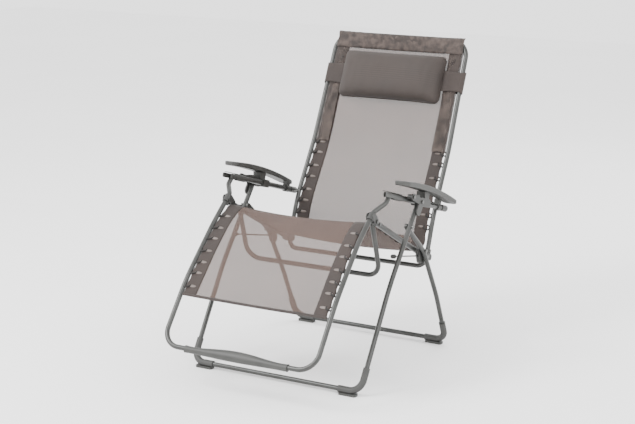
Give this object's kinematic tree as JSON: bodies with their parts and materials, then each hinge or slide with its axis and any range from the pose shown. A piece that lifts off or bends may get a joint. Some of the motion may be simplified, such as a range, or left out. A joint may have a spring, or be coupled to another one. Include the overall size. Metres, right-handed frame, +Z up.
{
  "type": "zero gravity recliner",
  "caption": "Folding garden recliner with a tubular steel frame, laced mesh sling, headrest pillow and sliding armrests that tilt seat, back and legrest together.",
  "frame": {"origin": "on the ground under the middle of the chair", "axes": "+Z up, the sitter faces -Y, +X is the sitter's left"},
  "size_m": [0.698, 1.0979, 1.025],
  "materials": {
    "frame_paint": "light grey satin powder coat",
    "bolt_steel": "zinc plated",
    "grey_plastic": "moulded, fine grain",
    "foot_plastic": "moulded, slightly scuffed",
    "dark_plastic": "moulded dark grey",
    "sling_mesh": "open taupe polyester mesh",
    "elastic": "dark elastic cord",
    "pillow_fabric": "dark taupe woven mesh over padding"
  },
  "bodies": {
    "base": {"front_leg_frame": "frame_paint", "front_leg_end_plugs": "grey_plastic", "rear_leg_frame": "frame_paint", "leg_hinge_bolts": "bolt_steel", "leg_hinge_washers": "bolt_steel", "front_feet": "foot_plastic", "rear_feet": "foot_plastic", "seat_pivot_block_left": "dark_plastic", "seat_pivot_block_right": "dark_plastic", "spread_rod_left": "bolt_steel", "spread_rod_right": "bolt_steel", "spread_rod_stops": "dark_plastic", "seat_pivot_bolts": "bolt_steel", "arm_bracket_bolts": "bolt_steel"},
    "seat": {"seat_rail_left": "frame_paint", "seat_rail_right": "frame_paint", "seat_rail_caps": "dark_plastic", "seat_stretcher_bar": "frame_paint", "stretcher_bolts": "bolt_steel", "sling_seat": "sling_mesh", "lacing_seat": "elastic", "knee_bolts": "bolt_steel", "hip_bolts": "bolt_steel"},
    "legrest": {"legrest_frame": "frame_paint", "legrest_tube_caps": "grey_plastic", "knee_hinge_left": "dark_plastic", "knee_hinge_right": "dark_plastic", "footrest_cover": "grey_plastic", "sling_legrest": "sling_mesh", "lacing_legrest": "elastic"},
    "backrest": {"backrest_frame": "frame_paint", "hip_hinge_left": "dark_plastic", "hip_hinge_right": "dark_plastic", "arm_rear_pins": "bolt_steel", "sling_back": "sling_mesh", "lacing_back": "elastic", "headrest_pillow": "pillow_fabric", "headrest_strap_left": "pillow_fabric", "headrest_strap_right": "pillow_fabric"},
    "arm_carrier_left": {"arm_bracket_left": "grey_plastic", "arm_collar_left": "grey_plastic", "armrest_pad_left": "grey_plastic", "lock_lever_bolt_left": "bolt_steel"},
    "arm_slider_left": {"arm_tube_left": "frame_paint", "arm_connector_left": "grey_plastic", "arm_tube_end_left": "grey_plastic"},
    "lock_lever_left": {"lock_lever_left": "dark_plastic"},
    "arm_carrier_right": {"arm_bracket_right": "grey_plastic", "arm_collar_right": "grey_plastic", "armrest_pad_right": "grey_plastic", "lock_lever_bolt_right": "bolt_steel"},
    "arm_slider_right": {"arm_tube_right": "frame_paint", "arm_connector_right": "grey_plastic", "arm_tube_end_right": "grey_plastic"},
    "lock_lever_right": {"lock_lever_right": "dark_plastic"}
  },
  "joints": [
    {"name": "seat_tilt", "type": "hinge", "parent": "base", "child": "seat", "pos_m": [0, 0.1301, 0.373], "axis": [-1, 0, 0], "range_deg": [0, 16.3]},
    {"name": "recline", "type": "hinge", "parent": "seat", "child": "backrest", "pos_m": [0, 0.2011, 0.335], "axis": [-1, 0, 0], "range_deg": [0, 20.09]},
    {"name": "legrest_swing", "type": "hinge", "parent": "seat", "child": "legrest", "pos_m": [0, -0.1539, 0.525], "axis": [-1, 0, 0], "range_deg": [0, 44.38]},
    {"name": "arm_pivot_left", "type": "hinge", "parent": "base", "child": "arm_carrier_left", "pos_m": [-0.316, 0.0611, 0.553], "axis": [-1, 0, 0], "range_deg": [0, 12.83]},
    {"name": "arm_slide_left", "type": "slide", "parent": "arm_carrier_left", "child": "arm_slider_left", "axis": [0, 0.9579, -0.2871], "range_m": [0, 0.09653]},
    {"name": "lock_lever_left", "type": "hinge", "parent": "arm_carrier_left", "child": "lock_lever_left", "pos_m": [-0.316, 0.0021, 0.58], "axis": [1, 0, 0], "range_deg": [0, 8]},
    {"name": "arm_pivot_right", "type": "hinge", "parent": "base", "child": "arm_carrier_right", "pos_m": [0.316, 0.0611, 0.553], "axis": [-1, 0, 0], "range_deg": [0, 12.83]},
    {"name": "arm_slide_right", "type": "slide", "parent": "arm_carrier_right", "child": "arm_slider_right", "axis": [0, 0.9579, -0.2871], "range_m": [0, 0.09653]},
    {"name": "lock_lever_right", "type": "hinge", "parent": "arm_carrier_right", "child": "lock_lever_right", "pos_m": [0.316, 0.0021, 0.58], "axis": [1, 0, 0], "range_deg": [0, 8]}
  ],
  "couplings": [
    {"joint": "seat_tilt", "follows": "recline", "ratio": 0.79628},
    {"joint": "legrest_swing", "follows": "recline", "ratio": 2.1935},
    {"joint": "arm_pivot_left", "follows": "recline", "ratio": 0.62335},
    {"joint": "arm_slide_left", "follows": "recline", "m_per_rad": 0.27383},
    {"joint": "arm_pivot_right", "follows": "recline", "ratio": 0.62335},
    {"joint": "arm_slide_right", "follows": "recline", "m_per_rad": 0.27383}
  ]
}
